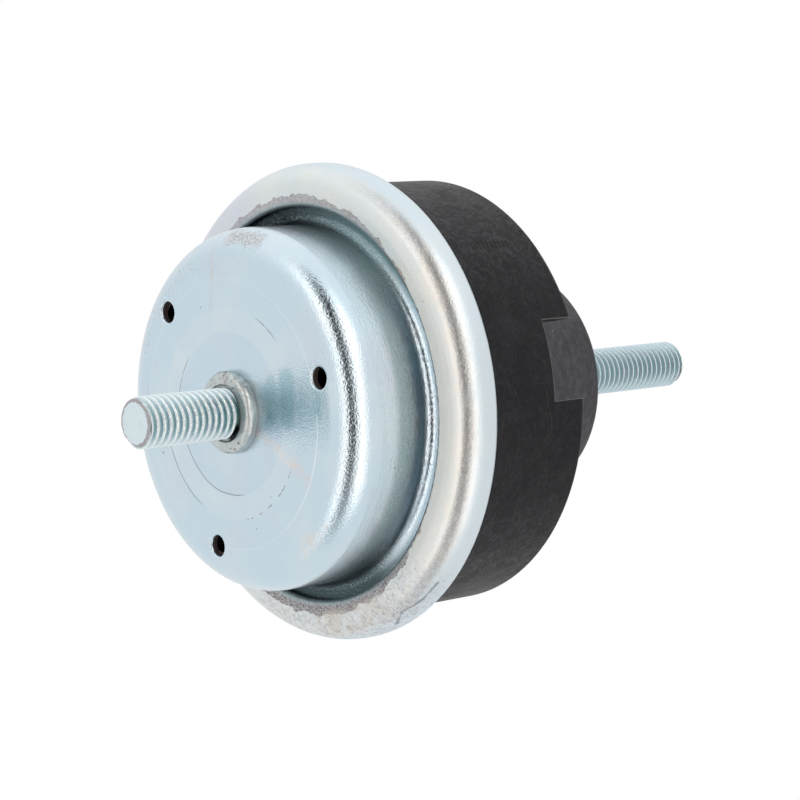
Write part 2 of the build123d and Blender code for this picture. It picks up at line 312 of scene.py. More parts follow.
def polar_effect():
    """Place in millimetres, turned to the side that the marks are on, with its radius, degrees and height."""
    made = {"Place": VECTOR, "Radius": VALUE, "Angle": VALUE, "Height": VALUE, "Turned": VECTOR}
    tree, given, out = shader_group("turned_part", {"Object": ORIGIN}, made)
    turn = {0: given["Object"], "Angle": -CLOCKING}
    faced = put(tree, "ShaderNodeVectorRotate", {"rotation_type": "Z_AXIS"}, turn).outputs[0]
    place = vector(tree, "MULTIPLY", faced, (1 / MM, 1 / MM, 1 / MM))[0]
    axes = put(tree, "ShaderNodeSeparateXYZ", None, {0: place}).outputs
    square = total(tree, calc(tree, "POWER", axes["X"], 2.0), calc(tree, "POWER", axes["Y"], 2.0))
    radius = calc(tree, "SQRT", square)
    angle = calc(tree, "DEGREES", calc(tree, "ARCTAN2", axes["Y"], axes["X"]))
    safe = calc(tree, "MAXIMUM", radius, 0.01)
    cosine = calc(tree, "DIVIDE", axes["X"], safe)
    sine = calc(tree, "DIVIDE", axes["Y"], safe)
    parts = {"X": cosine, "Y": sine, "Z": total(tree, radius, axes["Z"])}
    turned = put(tree, "ShaderNodeCombineXYZ", None, parts).outputs[0]
    for key, socket in zip(made, (place, radius, angle, axes["Z"], turned)):
        tree.links.new(socket, out[key])
    return tree


def grain_effect():
    """Fine orange peel of a plated or moulded surface, and its slow waves. Heights about zero."""
    inputs = {"Place": ORIGIN, "Grain size": 0.3, "Grain depth": 0.004, "Wave size": 6.0, "Wave depth": 0.01}
    tree, given, out = shader_group("surface_grain", inputs, {"Height": VALUE})
    fine = fractal(tree, given["Place"], calc(tree, "DIVIDE", 1.0, given["Grain size"]), 2.0, 0.6)
    slow = fractal(tree, given["Place"], calc(tree, "DIVIDE", 1.0, given["Wave size"]), 1.0, 0.4)
    height = total(tree, swing(tree, fine, given["Grain depth"]), swing(tree, slow, given["Wave depth"]))
    tree.links.new(height, out["Height"])
    return tree


def patch_effect():
    """Large soft patches with cloudy edges."""
    inputs = {"Place": ORIGIN, "Size": 10.0, "Low": 0.5, "High": 0.6, "Shift": 0.0}
    tree, given, out = shader_group("patches", inputs, {"Mask": VALUE})
    shifted = vector(tree, "ADD", given["Place"], given["Shift"])[0]
    cloud = fractal(tree, shifted, calc(tree, "DIVIDE", 1.0, given["Size"]), 4.0, 0.55, 0.3)
    tree.links.new(ramp(tree, cloud, given["Low"], given["High"]), out["Mask"])
    return tree


def speck_effect():
    """Small scattered specks of uneven size."""
    inputs = {"Place": ORIGIN, "Spacing": 1.0, "Amount": 0.3, "Size": 0.25}
    tree, given, out = shader_group("specks", inputs, {"Mask": VALUE})
    scale = calc(tree, "DIVIDE", 1.0, given["Spacing"])
    cells = put(tree, "ShaderNodeTexVoronoi", None, {"Vector": given["Place"], "Scale": scale}).outputs
    chance = put(tree, "ShaderNodeSeparateColor", None, {0: cells["Color"]}).outputs
    shown = calc(tree, "LESS_THAN", chance[0], given["Amount"])
    reach = calc(tree, "MULTIPLY", given["Size"], total(tree, chance[1], 0.35))
    spot = ramp(tree, calc(tree, "DIVIDE", cells["Distance"], reach), 0.7, 1.0, 1.0, 0.0)
    tree.links.new(both(tree, shown, spot), out["Mask"])
    return tree


def arc_effect():
    """A thin line scribed round the axis, over part of the turn and broken up along it."""
    inputs = {
        "Place": ORIGIN,
        "Radius": 0.0,
        "Angle": 0.0,
        "Line radius": 20.0,
        "Half width": 0.1,
        "Middle": 0.0,
        "Half span": 30.0,
        "Gaps": 0.4,
    }
    tree, given, out = shader_group("scribed_arc", inputs, {"Mask": VALUE})
    wobble = swing(tree, fractal(tree, given["Place"], 0.12), 0.5)
    radius = total(tree, given["Radius"], wobble)
    line = band(tree, radius, given["Line radius"], given["Half width"], 0.12)
    turn = calc(tree, "SUBTRACT", given["Angle"], given["Middle"])
    turn = calc(tree, "WRAP", turn, 180.0, -180.0)
    span = calc(tree, "SUBTRACT", calc(tree, "ABSOLUTE", turn), given["Half span"])
    along = ramp(tree, span, -12.0, 0.0, 1.0, 0.0)
    dashes = fractal(tree, given["Place"], 0.45, 3.0, 0.7)
    kept = ramp(tree, dashes, given["Gaps"], total(tree, given["Gaps"], 0.06))
    tree.links.new(both(tree, line, along, kept), out["Mask"])
    return tree


def smear_effect():
    """A soft smear along a straight line, with ragged edges."""
    inputs = {
        "Place": ORIGIN,
        "Start": ORIGIN,
        "End": (1.0, 0.0, 0.0),
        "Half width": 1.0,
        "Fade": 1.0,
        "Ragged": 1.0,
    }
    tree, given, out = shader_group("smear", inputs, {"Mask": VALUE})
    run = vector(tree, "SUBTRACT", given["End"], given["Start"])[0]
    off = vector(tree, "SUBTRACT", given["Place"], given["Start"])[0]
    length = vector(tree, "DOT_PRODUCT", run, run)["Value"]
    share = calc(tree, "DIVIDE", vector(tree, "DOT_PRODUCT", off, run)["Value"], length)
    share = calc(tree, "MINIMUM", calc(tree, "MAXIMUM", share, 0.0), 1.0)
    nearest = vector(tree, "MULTIPLY", run, share)[0]
    rough = swing(tree, fractal(tree, given["Place"], 0.6, 4.0, 0.65), given["Ragged"])
    away = total(tree, vector(tree, "DISTANCE", off, nearest)["Value"], rough)
    edge = total(tree, given["Half width"], given["Fade"])
    tree.links.new(ramp(tree, away, given["Half width"], edge, 1.0, 0.0), out["Mask"])
    return tree


def hairline_effect():
    """Fine scratches that run mostly one way."""
    inputs = {"Place": ORIGIN, "Size": 1.0, "Width": 0.02, "Amount": 0.5}
    tree, given, out = shader_group("hairlines", inputs, {"Mask": VALUE})
    size = calc(tree, "DIVIDE", 1.0, given["Size"])
    lines = fractal(tree, given["Place"], size, 1.0, 0.4, 0.4)
    line = calc(tree, "ABSOLUTE", calc(tree, "SUBTRACT", lines, 0.5))
    thin = ramp(tree, line, 0.0, given["Width"], 1.0, 0.0)
    where = fractal(tree, given["Place"], calc(tree, "MULTIPLY", size, 0.37), 2.0, 0.5)
    kept = ramp(tree, where, given["Amount"], total(tree, given["Amount"], 0.08))
    tree.links.new(both(tree, thin, kept), out["Mask"])
    return tree


POLAR = polar_effect()
GRAIN = grain_effect()
PATCHES = patch_effect()
SPECKS = speck_effect()
ARC = arc_effect()
SMEAR = smear_effect()
HAIRLINES = hairline_effect()


# Finishes


def new_material(name):
    """A new material. Returns it, its tree and its shader."""
    material = bpy.data.materials.new(name)
    material.use_nodes = True
    return material, material.node_tree, material.node_tree.nodes["Principled BSDF"]


def start_finish(name, metallic):
    """A new material with its shader and the polar place on the part."""
    material, tree, shader = new_material(name)
    shader.inputs["Metallic"].default_value = metallic
    return material, tree, shader, place_group(tree, POLAR, object_place(tree))


def end_finish(tree, shader, color, roughness, height):
    """Links colour, roughness and a height in millimetres to the shader."""
    tree.links.new(color, shader.inputs["Base Color"])
    tree.links.new(roughness, shader.inputs["Roughness"])
    bump = put(tree, "ShaderNodeBump", None, {"Height": height, "Distance": MM, "Strength": 1.0})
    tree.links.new(bump.outputs[0], shader.inputs["Normal"])


def scratched(tree, marks, front):
    """Dark scratches that the turning washer left on the seat face."""
    place, radius, angle = marks[:3]

    # Radius and half width of each line, the middle and half span of its arc, and its gaps
    lines = (
        (20.95, 0.04, 128.0, 14.0, 0.40),
        (20.95, 0.05, -37.0, 26.0, 0.38),
        (20.45, 0.06, -125.0, 30.0, 0.47),
        (15.65, 0.04, -58.0, 46.0, 0.25),
        (16.4, 0.03, 27.0, 20.0, 0.38),
        (26.9, 0.05, 10.0, 5.0, 0.30),
    )
    arcs = [effect(tree, ARC, place, radius, angle, *line) for line in lines]
    return both(tree, front, chain(tree, "MAXIMUM", *arcs))


def smudged(tree, place, color):
    """Pink smudge from the collar outwards, cream ones near the edge and a tan streak from the top."""
    blotch = ramp(tree, fractal(tree, place, 0.7, 4.0, 0.7), 0.36, 0.62, 0.15, 1.0)
    for start, end, half_width, fade, ragged, strength, over in (
        ((-8.0, -3.2, 0.0), (-14.0, -6.3, 0.0), 0.35, 1.3, 2.6, 0.50, SMUDGE_PINK),
        ((-13.5, -6.6, 0.0), (-18.0, -9.4, 0.0), 0.35, 1.4, 3.0, 0.50, ZINC_CREAM),
        ((-18.0, -9.2, 0.0), (-22.3, -12.3, 0.0), 0.40, 1.5, 3.0, 0.55, SMUDGE_PINK),
        ((-17.5, -27.4, 0.4), (-21.5, -23.4, 0.4), 0.35, 1.8, 4.4, 0.50, ZINC_CREAM),
        ((-21.0, -24.0, 0.4), (-26.5, -21.0, 0.4), 0.20, 1.6, 4.4, 0.45, SMUDGE_PINK),
        ((2.4, 32.5, 0.6), (2.8, 27.0, 0.0), 0.10, 0.8, 0.9, 0.55, STREAK_TAN),
        ((2.8, 27.0, 0.0), (4.4, 19.0, 0.0), 0.05, 0.6, 0.8, 0.40, STREAK_TAN),
    ):
        smear = effect(tree, SMEAR, place, start, end, half_width, fade, ragged)
        color = tint(tree, color, over, smear, blotch, strength)
    return color


def trough_painted_shade(tree, part, fine):
    """Painted shade in the gap under the ring's lip, and a painted teal reflection band on the wall at the
    right. Returns where it lies, its colour and where it hides the metal.
    """
    radius, angle, height = part[1:4]
    above = window(tree, angle, 20.0, 50.0, 82.0, 134.0)
    below = window(tree, angle, -148.0, -112.0, -45.0, -15.0)
    dark = calc(tree, "MAXIMUM", above, both(tree, below, 0.80))
    low_right = ramp(tree, angle, -140.0, -114.0, 1.0, 0.0)
    right = calc(tree, "MAXIMUM", ramp(tree, angle, 132.0, 160.0), low_right)
    # A painted teal reflection band along the wall on the right
    strip = both(tree, band(tree, height, 13.4, 0.9, 2.2), ramp(tree, fine, 0.35, 0.65, 0.45, 0.80))
    edge = total(tree, height, swing(tree, fine, 9.0))
    painted_shade = both(tree, ramp(tree, edge, 8.5, 15.5), ramp(tree, dark, 0.0, 1.0, 0.78, 1.0, soft=False))
    painted_shade = calc(tree, "MAXIMUM", painted_shade, ramp(tree, radius, *FLANGE_EDGE))
    shade_cover = ramp(tree, right, 0.0, 1.0, painted_shade, strip, soft=False)
    left_bare = ramp(tree, radius, *FLANGE_EDGE, 0.62, 0.84)
    shade_cover = both(tree, shade_cover, ramp(tree, fine, 0.48, 0.62, 1.0, left_bare))
    # The painted shade keeps the metal where it is darkest and hides it most where it is teal
    painted_light_share = both(tree, shade_cover, ramp(tree, dark, 0.0, 1.0, 0.60, 0.0, soft=False))
    return shade_cover, tint(tree, SHADE_TEAL, GAP_SHADE, dark), painted_light_share


def cup_finish():
    """Bright blue-passivated zinc on the cup: washer marks, scratches, smudges, a painted reflection of the
    stud, and painted shade in the vents and under the lip.
    """
    material, tree, shader, part = start_finish("cup_zinc", 1.0)
    place, radius, angle, height = part[:4]
    off_axis = vector(tree, "SUBTRACT", object_place(tree), WASHER_OFF)[0]
    marks = place_group(tree, POLAR, off_axis)
    front = ramp(tree, height, 0.3, 0.9, 1.0, 0.0)
    fine = fractal(tree, place, 3.4, 2.0, 0.7)

    pale = effect(tree, PATCHES, place, 14.0, 0.42, 0.66)
    color = tint(tree, ZINC_BLUE, ZINC_PALE, pale, 0.45)
    cool = effect(tree, PATCHES, place, 9.0, 0.5, 0.7, 31.0)
    color = tint(tree, color, ZINC_LAVENDER, cool, 0.35)

    # Washer seats: paler between two radii, cooler inside, and the scribed circle outside
    pressed = both(tree, front, band(tree, marks["Radius"], 18.4, 2.0, 0.6))
    color = tint(tree, color, ZINC_PALE, pressed, 0.25)
    inner_seat = both(tree, front, ramp(tree, marks["Radius"], 15.6, 16.0, 1.0, 0.0), 0.16)
    color = tint(tree, color, SEAT_BLUE, inner_seat)
    scribe = both(tree, front, band(tree, marks["Radius"], 26.3, 0.06, 0.16))
    scribe_kept = ramp(tree, calc(tree, "ABSOLUTE", marks["Angle"]), 108.0, 140.0, 0.45, 0.9)
    scribe = both(tree, scribe, scribe_kept, ramp(tree, marks["Angle"], -160.0, -120.0, 1.0, 0.35))
    color = tint(tree, color, SCRIBE_WHITE, scribe, 0.60)
    scratches = scratched(tree, marks, front)
    color = tint(tree, color, SCRATCH_DARK, scratches, 0.70)
    color = smudged(tree, marks["Place"], color)

    # Painted reflection of the stud: speckled teal patches to the right of the collar
    dotted = ramp(tree, fine, 0.40, 0.60, 0.35, 1.0)
    for start, end, half_width, fade, strength in (
        ((-9.0, 2.8, 0.0), (-10.0, -1.4, 0.0), 0.8, 2.4, 0.35),
        ((-12.6, 5.4, 0.0), (-12.2, -0.4, 0.0), 0.6, 2.2, 0.40),
        ((-17.2, 6.2, 0.0), (-16.8, -1.0, 0.0), 1.1, 2.0, 0.60),
        ((-26.2, 4.4, 0.0), (-26.0, 0.4, 0.0), 0.3, 1.8, 0.42),
    ):
        patch = effect(tree, SMEAR, place, start, end, half_width, fade, 1.6)
        color = tint(tree, color, STUD_REFLECTION_TEAL, patch, dotted, strength)

    # Worn brown patch on the rounded edge, and speckles along the rim
    worn = effect(tree, SMEAR, marks["Place"], (-1.5, 34.0, 2.4), (-9.0, 32.9, 2.4), 0.6, 2.2, 4.0)
    crumbs = ramp(tree, fractal(tree, place, 2.0, 5.0, 0.9), 0.44, 0.60)
    color = tint(tree, color, SMUDGE_PINK, worn, 0.45)
    worn = both(tree, worn, crumbs)
    color = tint(tree, color, DIRT, worn, 0.60)
    rim = both(tree, band(tree, marks["Radius"], 30.2, 1.0, 1.4), ramp(tree, angle, 8.0, 28.0))
    rim = both(tree, rim, ramp(tree, angle, 62.0, 86.0, 1.0, 0.25))
    rim_crumbs = ramp(tree, fractal(tree, place, 1.3, 4.0, 0.75), 0.53, 0.66)
    rim = both(tree, rim, rim_crumbs, ramp(tree, height, 1.5, 3.0, 1.0, 0.0))
    color = tint(tree, color, SCUFF_MAUVE, rim, 0.45)
    pits = effect(tree, SPECKS, place, 2.6, 0.10, 0.09)
    color = tint(tree, color, DIRT, pits, 0.6)

    # Drawing lines round the wall, with fine pits
    stretched = vector(tree, "MULTIPLY", part["Turned"], (1.5, 1.5, 1.6))[0]
    drawn = fractal(tree, stretched, 1.0, 3.0, 0.6)
    on_wall = ramp(tree, height, 5.0, 8.0)
    color = tint(tree, color, ZINC_TEAL, on_wall, ramp(tree, drawn, 0.5, 0.7), 0.14)
    wall_pits = both(tree, on_wall, ramp(tree, fractal(tree, place, 2.1, 3.0, 0.8), 0.60, 0.68))
    color = tint(tree, color, ZINC_TEAL, wall_pits, 0.45)

    # Painted shade in the gap under the lip, and a painted reflection band on the wall at the right
    shade_cover, painted_shade, painted_light_share = trough_painted_shade(tree, part, fine)
    color = tint(tree, color, painted_shade, shade_cover)

    # Rust inside the vents, painted very dark as their shade as well
    in_hole = window(tree, height, 0.30, 0.6, 1.7, 1.8)
    rust_and_shade = both(tree, in_hole, band(tree, radius, VENT_R, VENT_HALF, 0.15))
    color = tint(tree, color, RUST_AND_SHADE, rust_and_shade, 0.95)

    # Bare metal everywhere but on the rust and painted shade in the vents, and under the paler painted shade
    # in the gap
    bare = calc(tree, "SUBTRACT", ramp(tree, rust_and_shade, 0.0, 1.0, 1.0, 0.0, soft=False), painted_light_share)
    tree.links.new(bare, shader.inputs["Metallic"])
    grain = effect(tree, GRAIN, place, 0.40, 0.080, 7.0, 0.03)
    relief = total(tree, grain, both(tree, scribe, -0.02), both(tree, scratches, -0.015))
    rough = total(tree, 0.09, both(tree, pale, 0.05), both(tree, worn, 0.3), both(tree, shade_cover, 0.30))
    end_finish(tree, shader, color, rough, relief)
    return material


def ring_finish():
    """Duller zinc on the crimp ring: rolled-over lip with a scuffed band, stains, dirt and wrinkles, painted
    reflections and a painted highlight on its right half and outer bend, and painted shade round the lip's
    inner edge.
    """
    material, tree, shader, part = start_finish("ring_zinc", 1.0)
    place, radius, angle, height = part[:4]
    away = calc(tree, "ABSOLUTE", angle)
    fine = fractal(tree, place, 3.0, 2.0, 0.7)

    flecks = effect(tree, PATCHES, place, 3.2, 0.46, 0.74)
    color = tint(tree, RING_GREY, ZINC_YELLOW, flecks, 0.40)
    # Painted reflection: the right half turns cream in patches
    right = ramp(tree, away, *RIGHT_SIDE)
    warm = effect(tree, PATCHES, place, 4.5, 0.34, 0.66, 9.0)
    color = tint(tree, color, ZINC_CREAM, right, ramp(tree, warm, 0.0, 1.0, 0.25, 0.65))
    left = band(tree, angle, 52.0, 14.0, 16.0)
    color = tint(tree, color, ZINC_LAVENDER, left, 0.60)
    cool = effect(tree, PATCHES, place, 7.0, 0.5, 0.72, 17.0)
    color = tint(tree, color, ZINC_BLUE, cool, 0.30)
    outer = ramp(tree, radius, 46.0, 47.3)
    color = tint(tree, color, ZINC_BLUE, outer, 0.6)
    # Painted highlight: the flat of the lip on the right half is painted white and made rougher
    matt_painted_lit = both(tree, right, ramp(tree, radius, 42.0, 44.0, 1.0, 0.0))
    color = tint(tree, color, LIP_HIGHLIGHT_WHITE, matt_painted_lit, 0.70)
    # Painted reflection of the dark gap: a speckled grey band round the outer bend
    bend_reflection = both(tree, band(tree, radius, 45.8, 0.35, 0.8), ramp(tree, away, 100.0, 135.0))
    bend_reflection = both(tree, bend_reflection, ramp(tree, fine, 0.40, 0.60, 0.35, 1.0))
    color = tint(tree, color, BEND_REFLECTION_GREY, bend_reflection, 0.55)

    # Scuffed band along the lip, wide above and below, narrow at the right
    turn = calc(tree, "SINE", calc(tree, "RADIANS", angle))
    ragged = fractal(tree, place, 0.30, 5.0, 0.55)
    below = band(tree, angle, -98.0, 22.0, 26.0)
    reach = total(tree, 39.2, both(tree, turn, turn, 2.0), swing(tree, ragged, 3.0), both(tree, below, 0.7))
    inside = calc(tree, "SUBTRACT", reach, radius)
    on_lip = ramp(tree, height, 18.3, 19.0, 1.0, 0.0)
    scuff = both(tree, ramp(tree, inside, -0.10, 0.30), on_lip)
    crumbs = ramp(tree, fractal(tree, place, 2.4, 4.0, 0.8), 0.36, 0.62, 0.35, 1.0)
    scuff_strength = total(tree, 0.80, both(tree, below, 0.15))
    color = tint(tree, color, SCUFF_MAUVE, scuff, crumbs, scuff_strength)
    rim_line = both(tree, band(tree, inside, 0.12, 0.05, 0.12), on_lip, crumbs)
    color = tint(tree, color, DIRT, rim_line, 0.45)
    grit = both(tree, scuff, ramp(tree, fine, 0.48, 0.58), ramp(tree, below, 0.0, 1.0, 0.15, 0.85))
    color = tint(tree, color, DIRT, grit)

    # Rounded inner edge of the lip: a teal strip on the left and above, a painted shadow line at the right,
    # and painted shade under the edge
    rounded = both(tree, ramp(tree, radius, 39.75, 40.25, 1.0, 0.0), on_lip)
    strip = both(tree, rounded, ramp(tree, away, *RIGHT_SIDE, 1.0, 0.0))
    color = tint(tree, color, EDGE_TEAL, strip, 0.75)
    line = both(tree, band(tree, radius, 39.45, 0.10, 0.15), right)
    color = tint(tree, color, GAP_SHADE, line, 0.85)
    # Painted shade under the lip's inner edge, fading towards the right
    under = both(tree, ramp(tree, radius, 39.1, 39.3, 1.0, 0.0), ramp(tree, height, 18.2, 18.9))
    under = both(tree, under, ramp(tree, away, 118.0, 155.0, 0.95, 0.20))
    color = tint(tree, color, GAP_SHADE, under)

    # Dirt, stains and wrinkles where the ring has lain on its lower side
    stain = effect(tree, PATCHES, place, 4.0, 0.36, 0.60, 23.0)
    stain = both(tree, stain, band(tree, angle, -104.0, 7.0, 12.0), band(tree, radius, 43.4, 1.4, 1.8))
    color = tint(tree, color, STAIN_TAN, stain, 0.65)
    grime = ramp(tree, fractal(tree, place, 1.1, 5.0, 0.85), 0.44, 0.66)
    grime = both(tree, below, grime, ramp(tree, radius, 41.0, 43.5, 0.35, 1.0))
    color = tint(tree, color, SCUFF_MAUVE, grime, 0.68)
    wrinkles = effect(tree, HAIRLINES, place, 2.6, 0.020, 0.45)
    wrinkles = both(tree, wrinkles, below)
    color = tint(tree, color, WRINKLE_GREY, wrinkles, 0.40)
    bends = ((-19.6, -42.9, 21.4), (-23.1, -40.2, 19.8), (-28.1, -37.7, 20.8), (-32.6, -34.1, 21.2))
    folds = [effect(tree, SMEAR, place, *run, 0.02, 0.42, 1.0) for run in zip(bends, bends[1:])]
    # The creases are painted darker along their lines
    crease = chain(tree, "MAXIMUM", *folds)
    color = tint(tree, color, DIRT, crease, 0.60)
    specks = effect(tree, SPECKS, place, 2.2, 0.12, 0.10)
    color = tint(tree, color, SCUFF_BROWN, specks, 0.45)

    grain = effect(tree, GRAIN, place, 0.38, 0.065, 5.0, 0.07)
    raised = both(tree, scuff, ramp(tree, ragged, 0.3, 0.7, 0.0, 0.04))
    relief = total(tree, grain, both(tree, wrinkles, -0.03), raised, both(tree, crease, -0.05))
    rough = total(tree, 0.32, both(tree, flecks, 0.10), both(tree, scuff, 0.18), both(tree, matt_painted_lit, 0.30))
    end_finish(tree, shader, color, rough, relief)
    return material


def stud_finish(name, bright, tip_z, tip_side, crest_shine, roughness):
    """Zinc on a rolled thread: painted highlights on the crests, painted teal shade on the flanks and roots,
    and a burred edge round the tip's face.
    """
    material, tree, shader, part = start_finish(name, 1.0)
    place, radius, height = part["Place"], part["Radius"], part["Height"]
    # Painted shade: teal on the roots and flanks, stronger near the cup and on the side that faces the camera
    root = ramp(tree, radius, 4.55, 4.90, 1.0, 0.0)
    inward = calc(tree, "MULTIPLY", calc(tree, "SUBTRACT", tip_z / MM, height), tip_side)
    beyond = ramp(tree, inward, 0.02, 0.12)
    near_root = ramp(tree, calc(tree, "ABSOLUTE", height), 2.0, 14.0, 0.95, 0.55)
    sideways = ramp(tree, calc(tree, "ABSOLUTE", part["Angle"]), 118.0, 165.0, 0.50, 1.0)
    color = tint(tree, bright, ZINC_TEAL, root, beyond, near_root, sideways)
    # Painted highlight along the crests
    crest = ramp(tree, radius, 4.90, 4.97)
    color = tint(tree, color, CREST_HIGHLIGHT_WHITE, crest, crest_shine)
    dull = effect(tree, PATCHES, place, 2.4, 0.52, 0.70)
    color = tint(tree, color, ZINC_LAVENDER, dull, 0.4)
    pits = effect(tree, SPECKS, place, 0.9, 0.10, 0.13)
    color = tint(tree, color, DIRT, pits, beyond, 0.6)

    # Burr round the tip's face
    ragged = total(tree, radius, swing(tree, fractal(tree, place, 1.3, 4.0, 0.7), 1.1))
    burr = both(tree, band(tree, ragged, 4.30, 0.20, 0.18), ramp(tree, inward, 0.35, 0.6, 1.0, 0.0))
    color = tint(tree, color, SCUFF_MAUVE, burr, 0.85)
    grain = effect(tree, GRAIN, place, 0.26, 0.045, 2.0, 0.03)
    relief = total(tree, grain, both(tree, burr, 0.08))
    rough = total(tree, roughness, both(tree, dull, 0.14), both(tree, burr, 0.2))
    end_finish(tree, shader, color, rough, relief)
    return material


def collar_finish():
    """Zinc on the swaged collar: greyer, with tool marks, painted shade in its groove and a painted black
    shadow in the gap on one side.
    """
    material, tree, shader, part = start_finish("collar_zinc", 1.0)
    place, radius, angle, height = part[:4]
    warm = effect(tree, PATCHES, place, 1.8, 0.45, 0.65)
    color = tint(tree, COLLAR_GREY, COLLAR_WARM, warm, 0.45)
    # Painted shade in the groove
    groove = ramp(tree, radius, 5.35, 5.75, 1.0, 0.0)
    color = tint(tree, color, GROOVE_SHADE, groove, 0.70)
    # Painted shadow: a black crescent in the gap beside the thread
    crescent = both(tree, ramp(tree, radius, 5.5, 5.9, 1.0, 0.0), band(tree, angle, -127.0, 18.0, 14.0))
    color = tint(tree, color, GAP_SHADE, crescent, 0.95)
    marks = effect(tree, HAIRLINES, place, 0.9, 0.05, 0.36)
    top = band(tree, angle, 105.0, 30.0, 25.0)
    color = tint(tree, color, TOOL_DARK, marks, ramp(tree, top, 0.0, 1.0, 0.25, 0.85))
    pits = effect(tree, SPECKS, place, 0.9, 0.9, 0.42)
    pits = both(tree, pits, band(tree, angle, -107.0, 18.0, 7.0), band(tree, radius, 7.3, 0.35, 0.2))
    color = tint(tree, color, DIRT, pits, 0.9)
    foot = ramp(tree, height, -0.45, -0.1)
    color = tint(tree, color, SCUFF_MAUVE, foot, 0.5)
    turning = vector(tree, "MULTIPLY", part["Turned"], (0.8, 0.8, 5.0))[0]
    rings = fractal(tree, turning, 1.0, 2.0, 0.5)
    grain = effect(tree, GRAIN, place, 0.25, 0.02, 1.2, 0.03)
    relief = total(tree, grain, both(tree, rings, 0.03), both(tree, marks, -0.03))
    rough = total(tree, 0.28, both(tree, warm, 0.12))
    end_finish(tree, shader, color, rough, relief)
    return material


def spring_finish():
    """Moulded black rubber: bloom, mould strokes, scratches and white specks, greyer on the cone, brushed
    streaks with painted sheen towards the top and bottom, and a painted highlight along the notch edges.
    """
    material, tree, shader, part = start_finish("spring_rubber", 0.0)
    shader.inputs["Specular IOR Level"].default_value = 0.14
    place, radius, angle, height = part[:4]
    bloom = effect(tree, PATCHES, place, 9.0, 0.46, 0.72)
    color = tint(tree, RUBBER_BLACK, RUBBER_BLOOM, bloom, 0.55)
    cone = ramp(tree, radius, 37.2, 38.2, 1.0, 0.0)
    mottle = ramp(tree, fractal(tree, place, 0.55, 5.0, 0.7), 0.35, 0.68)
    color = tint(tree, color, RUBBER_GREY, cone, ramp(tree, mottle, 0.0, 1.0, 0.45, 1.0))
    # Brushed grey streaks, painted as a sheen: strong towards the top and bottom, faint on the side that faces
    # the camera
    away = calc(tree, "ABSOLUTE", angle)
    brushed = ramp(tree, fractal(tree, place, 0.5, 6.0, 0.8, 1.6), 0.44, 0.62)
    painted_light_share = both(tree, brushed, ramp(tree, away, 126.0, 158.0, 0.80, 0.18))
    painted_light_share = both(tree, painted_light_share, ramp(tree, away, 70.0, 104.0, 0.45, 1.0))
    color = tint(tree, color, RUBBER_GREY, painted_light_share)
    lines = vector(tree, "MULTIPLY", place, (0.35, 0.35, 2.2))[0]
    scratches = effect(tree, HAIRLINES, lines, 2.4, 0.02, 0.50)
    color = tint(tree, color, RUBBER_SCRATCH, scratches, 0.14)
    specks = effect(tree, SPECKS, place, 3.0, 0.26, 0.05)
    color = tint(tree, color, SPECK_WHITE, specks, 0.8)

    # A row of slanting strokes that the mould left on the wall
    phase = total(tree, calc(tree, "MULTIPLY", height, 6.0), calc(tree, "MULTIPLY", angle, 1.1))
    strokes = ramp(tree, calc(tree, "SINE", phase), 0.1, 0.6)
    strokes = both(tree, strokes, band(tree, angle, 138.0, 1.1, 0.5), band(tree, height, 40.5, 4.6, 0.8))
    color = tint(tree, color, STROKE_BLACK, strokes, 0.75)

    # Painted highlight: a thin pale line along the sills and the jambs of the notches
    across = put(tree, "ShaderNodeSeparateXYZ", None, {0: object_place(tree)}).outputs["X"]
    across = calc(tree, "MULTIPLY", calc(tree, "ABSOLUTE", across), 1 / MM)
    sill = ramp(tree, across, NOTCH_HALF, NOTCH_HALF + 0.1, 1.0, 0.0)
    sill = both(tree, band(tree, height, NOTCH_SILL_Z, 0.05, 0.12), sill)
    jamb = ramp(tree, height, NOTCH_SILL_Z - 0.1, NOTCH_SILL_Z)
    jamb = both(tree, band(tree, across, NOTCH_HALF, 0.05, 0.12), jamb)
    outside = ramp(tree, radius, NOTCH_WALL_R - 0.8, NOTCH_WALL_R - 0.4)
    color = tint(tree, color, RUBBER_EDGE_HIGHLIGHT, calc(tree, "MAXIMUM", sill, jamb), outside, 0.8)

    grain = effect(tree, GRAIN, place, 0.5, 0.07, 6.0, 0.25)
    relief = total(tree, grain, both(tree, strokes, -0.15), both(tree, scratches, -0.03))
    rough = total(tree, 0.46, both(tree, bloom, 0.12), both(tree, cone, 0.08))
    end_finish(tree, shader, color, rough, relief)
    return material


def inner_rubber_finish(name, dark):
    """Matt black rubber of the inner pieces, with mould grain."""
    material, tree, shader, part = start_finish(name, 0.0)
    place = part["Place"]
    bloom = effect(tree, PATCHES, place, 5.0, 0.42, 0.7)
    color = tint(tree, dark, RUBBER_BLOOM, bloom)
    grain = effect(tree, GRAIN, place, 0.4, 0.04, 4.0, 0.1)
    end_finish(tree, shader, color, total(tree, 0.55, both(tree, bloom, 0.12)), grain)
    return material


